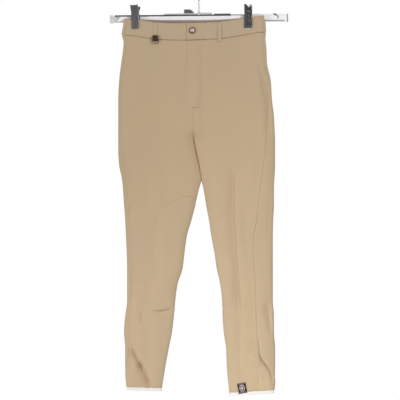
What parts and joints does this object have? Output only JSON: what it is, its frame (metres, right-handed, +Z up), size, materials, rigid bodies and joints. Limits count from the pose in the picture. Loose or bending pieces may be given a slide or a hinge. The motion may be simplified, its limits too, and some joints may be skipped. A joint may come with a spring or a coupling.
{
  "type": "riding breeches on a clip hanger",
  "caption": "Fawn riding breeches with knee patches, fly, belt loops and a leather ring keeper, hanging by the waistband from a clip hanger.",
  "frame": {"origin": "top of the inside of the hanger's hook, where the rail carries it", "axes": "+Z up; -Y is the front of the breeches; +X is to the wearer's left"},
  "size_m": [0.4648, 0.0538, 1.0909],
  "materials": {
    "beige_cloth": "brushed stretch cloth, fawn beige, very fine diagonal weave",
    "facing_cloth": "thin grey-brown band facing",
    "white_tape": "white elastic hem tape, ribbed",
    "brown_leather": "dark brown, smooth",
    "antique_metal": "antique brass, worn",
    "label_cloth": "dark woven label, plain pale motif",
    "grey_plastic": "dark grey moulded",
    "pad_rubber": "pale soft grip pads",
    "silver_bar": "pale silver-grey, slightly glossy",
    "steel_wire": "plated wire"
  },
  "bodies": {
    "breeches_on_hanger": {"back_calf_left": "beige_cloth", "back_calf_right": "beige_cloth", "back_hip_left": "beige_cloth", "back_hip_right": "beige_cloth", "back_thigh_left": "beige_cloth", "back_thigh_right": "beige_cloth", "bar_cap_left": "silver_bar", "bar_cap_right": "silver_bar", "belt_loop_back_centre": "beige_cloth", "belt_loop_back_left": "beige_cloth", "belt_loop_back_right": "beige_cloth", "belt_loop_front_left": "beige_cloth", "belt_loop_front_right": "beige_cloth", "clip_back_left": "grey_plastic", "clip_back_right": "grey_plastic", "clip_barrel_left": "steel_wire", "clip_barrel_right": "steel_wire", "clip_front_left": "grey_plastic", "clip_front_right": "grey_plastic", "clip_pad_back_left": "pad_rubber", "clip_pad_back_right": "pad_rubber", "clip_pad_front_left": "pad_rubber", "clip_pad_front_right": "pad_rubber", "cuff_flap_left": "beige_cloth", "cuff_flap_right": "beige_cloth", "fly_overlap": "beige_cloth", "front_calf_left": "beige_cloth", "front_calf_right": "beige_cloth", "front_hip_left": "beige_cloth", "front_hip_right": "beige_cloth", "front_thigh_left": "beige_cloth", "front_thigh_right": "beige_cloth", "hanger_bar": "silver_bar", "hanger_hook": "steel_wire", "hanger_hub": "grey_plastic", "hem_label": "label_cloth", "hem_tape_back_left": "white_tape", "hem_tape_back_right": "white_tape", "hem_tape_front_left": "white_tape", "hem_tape_front_right": "white_tape", "knee_patch_left": "beige_cloth", "knee_patch_right": "beige_cloth", "leather_tab": "brown_leather", "waist_button": "antique_metal", "waistband_back": "beige_cloth", "waistband_facing": "facing_cloth", "waistband_front_left": "beige_cloth", "waistband_front_right": "beige_cloth"},
    "d_ring": {"d_ring": "antique_metal"}
  },
  "joints": [
    {"name": "d_ring_swing", "type": "hinge", "parent": "breeches_on_hanger", "child": "d_ring", "pos_m": [-0.1135, -0.02532, -0.1625], "axis": [-1, 0, 0], "range_deg": [0, 150]}
  ]
}
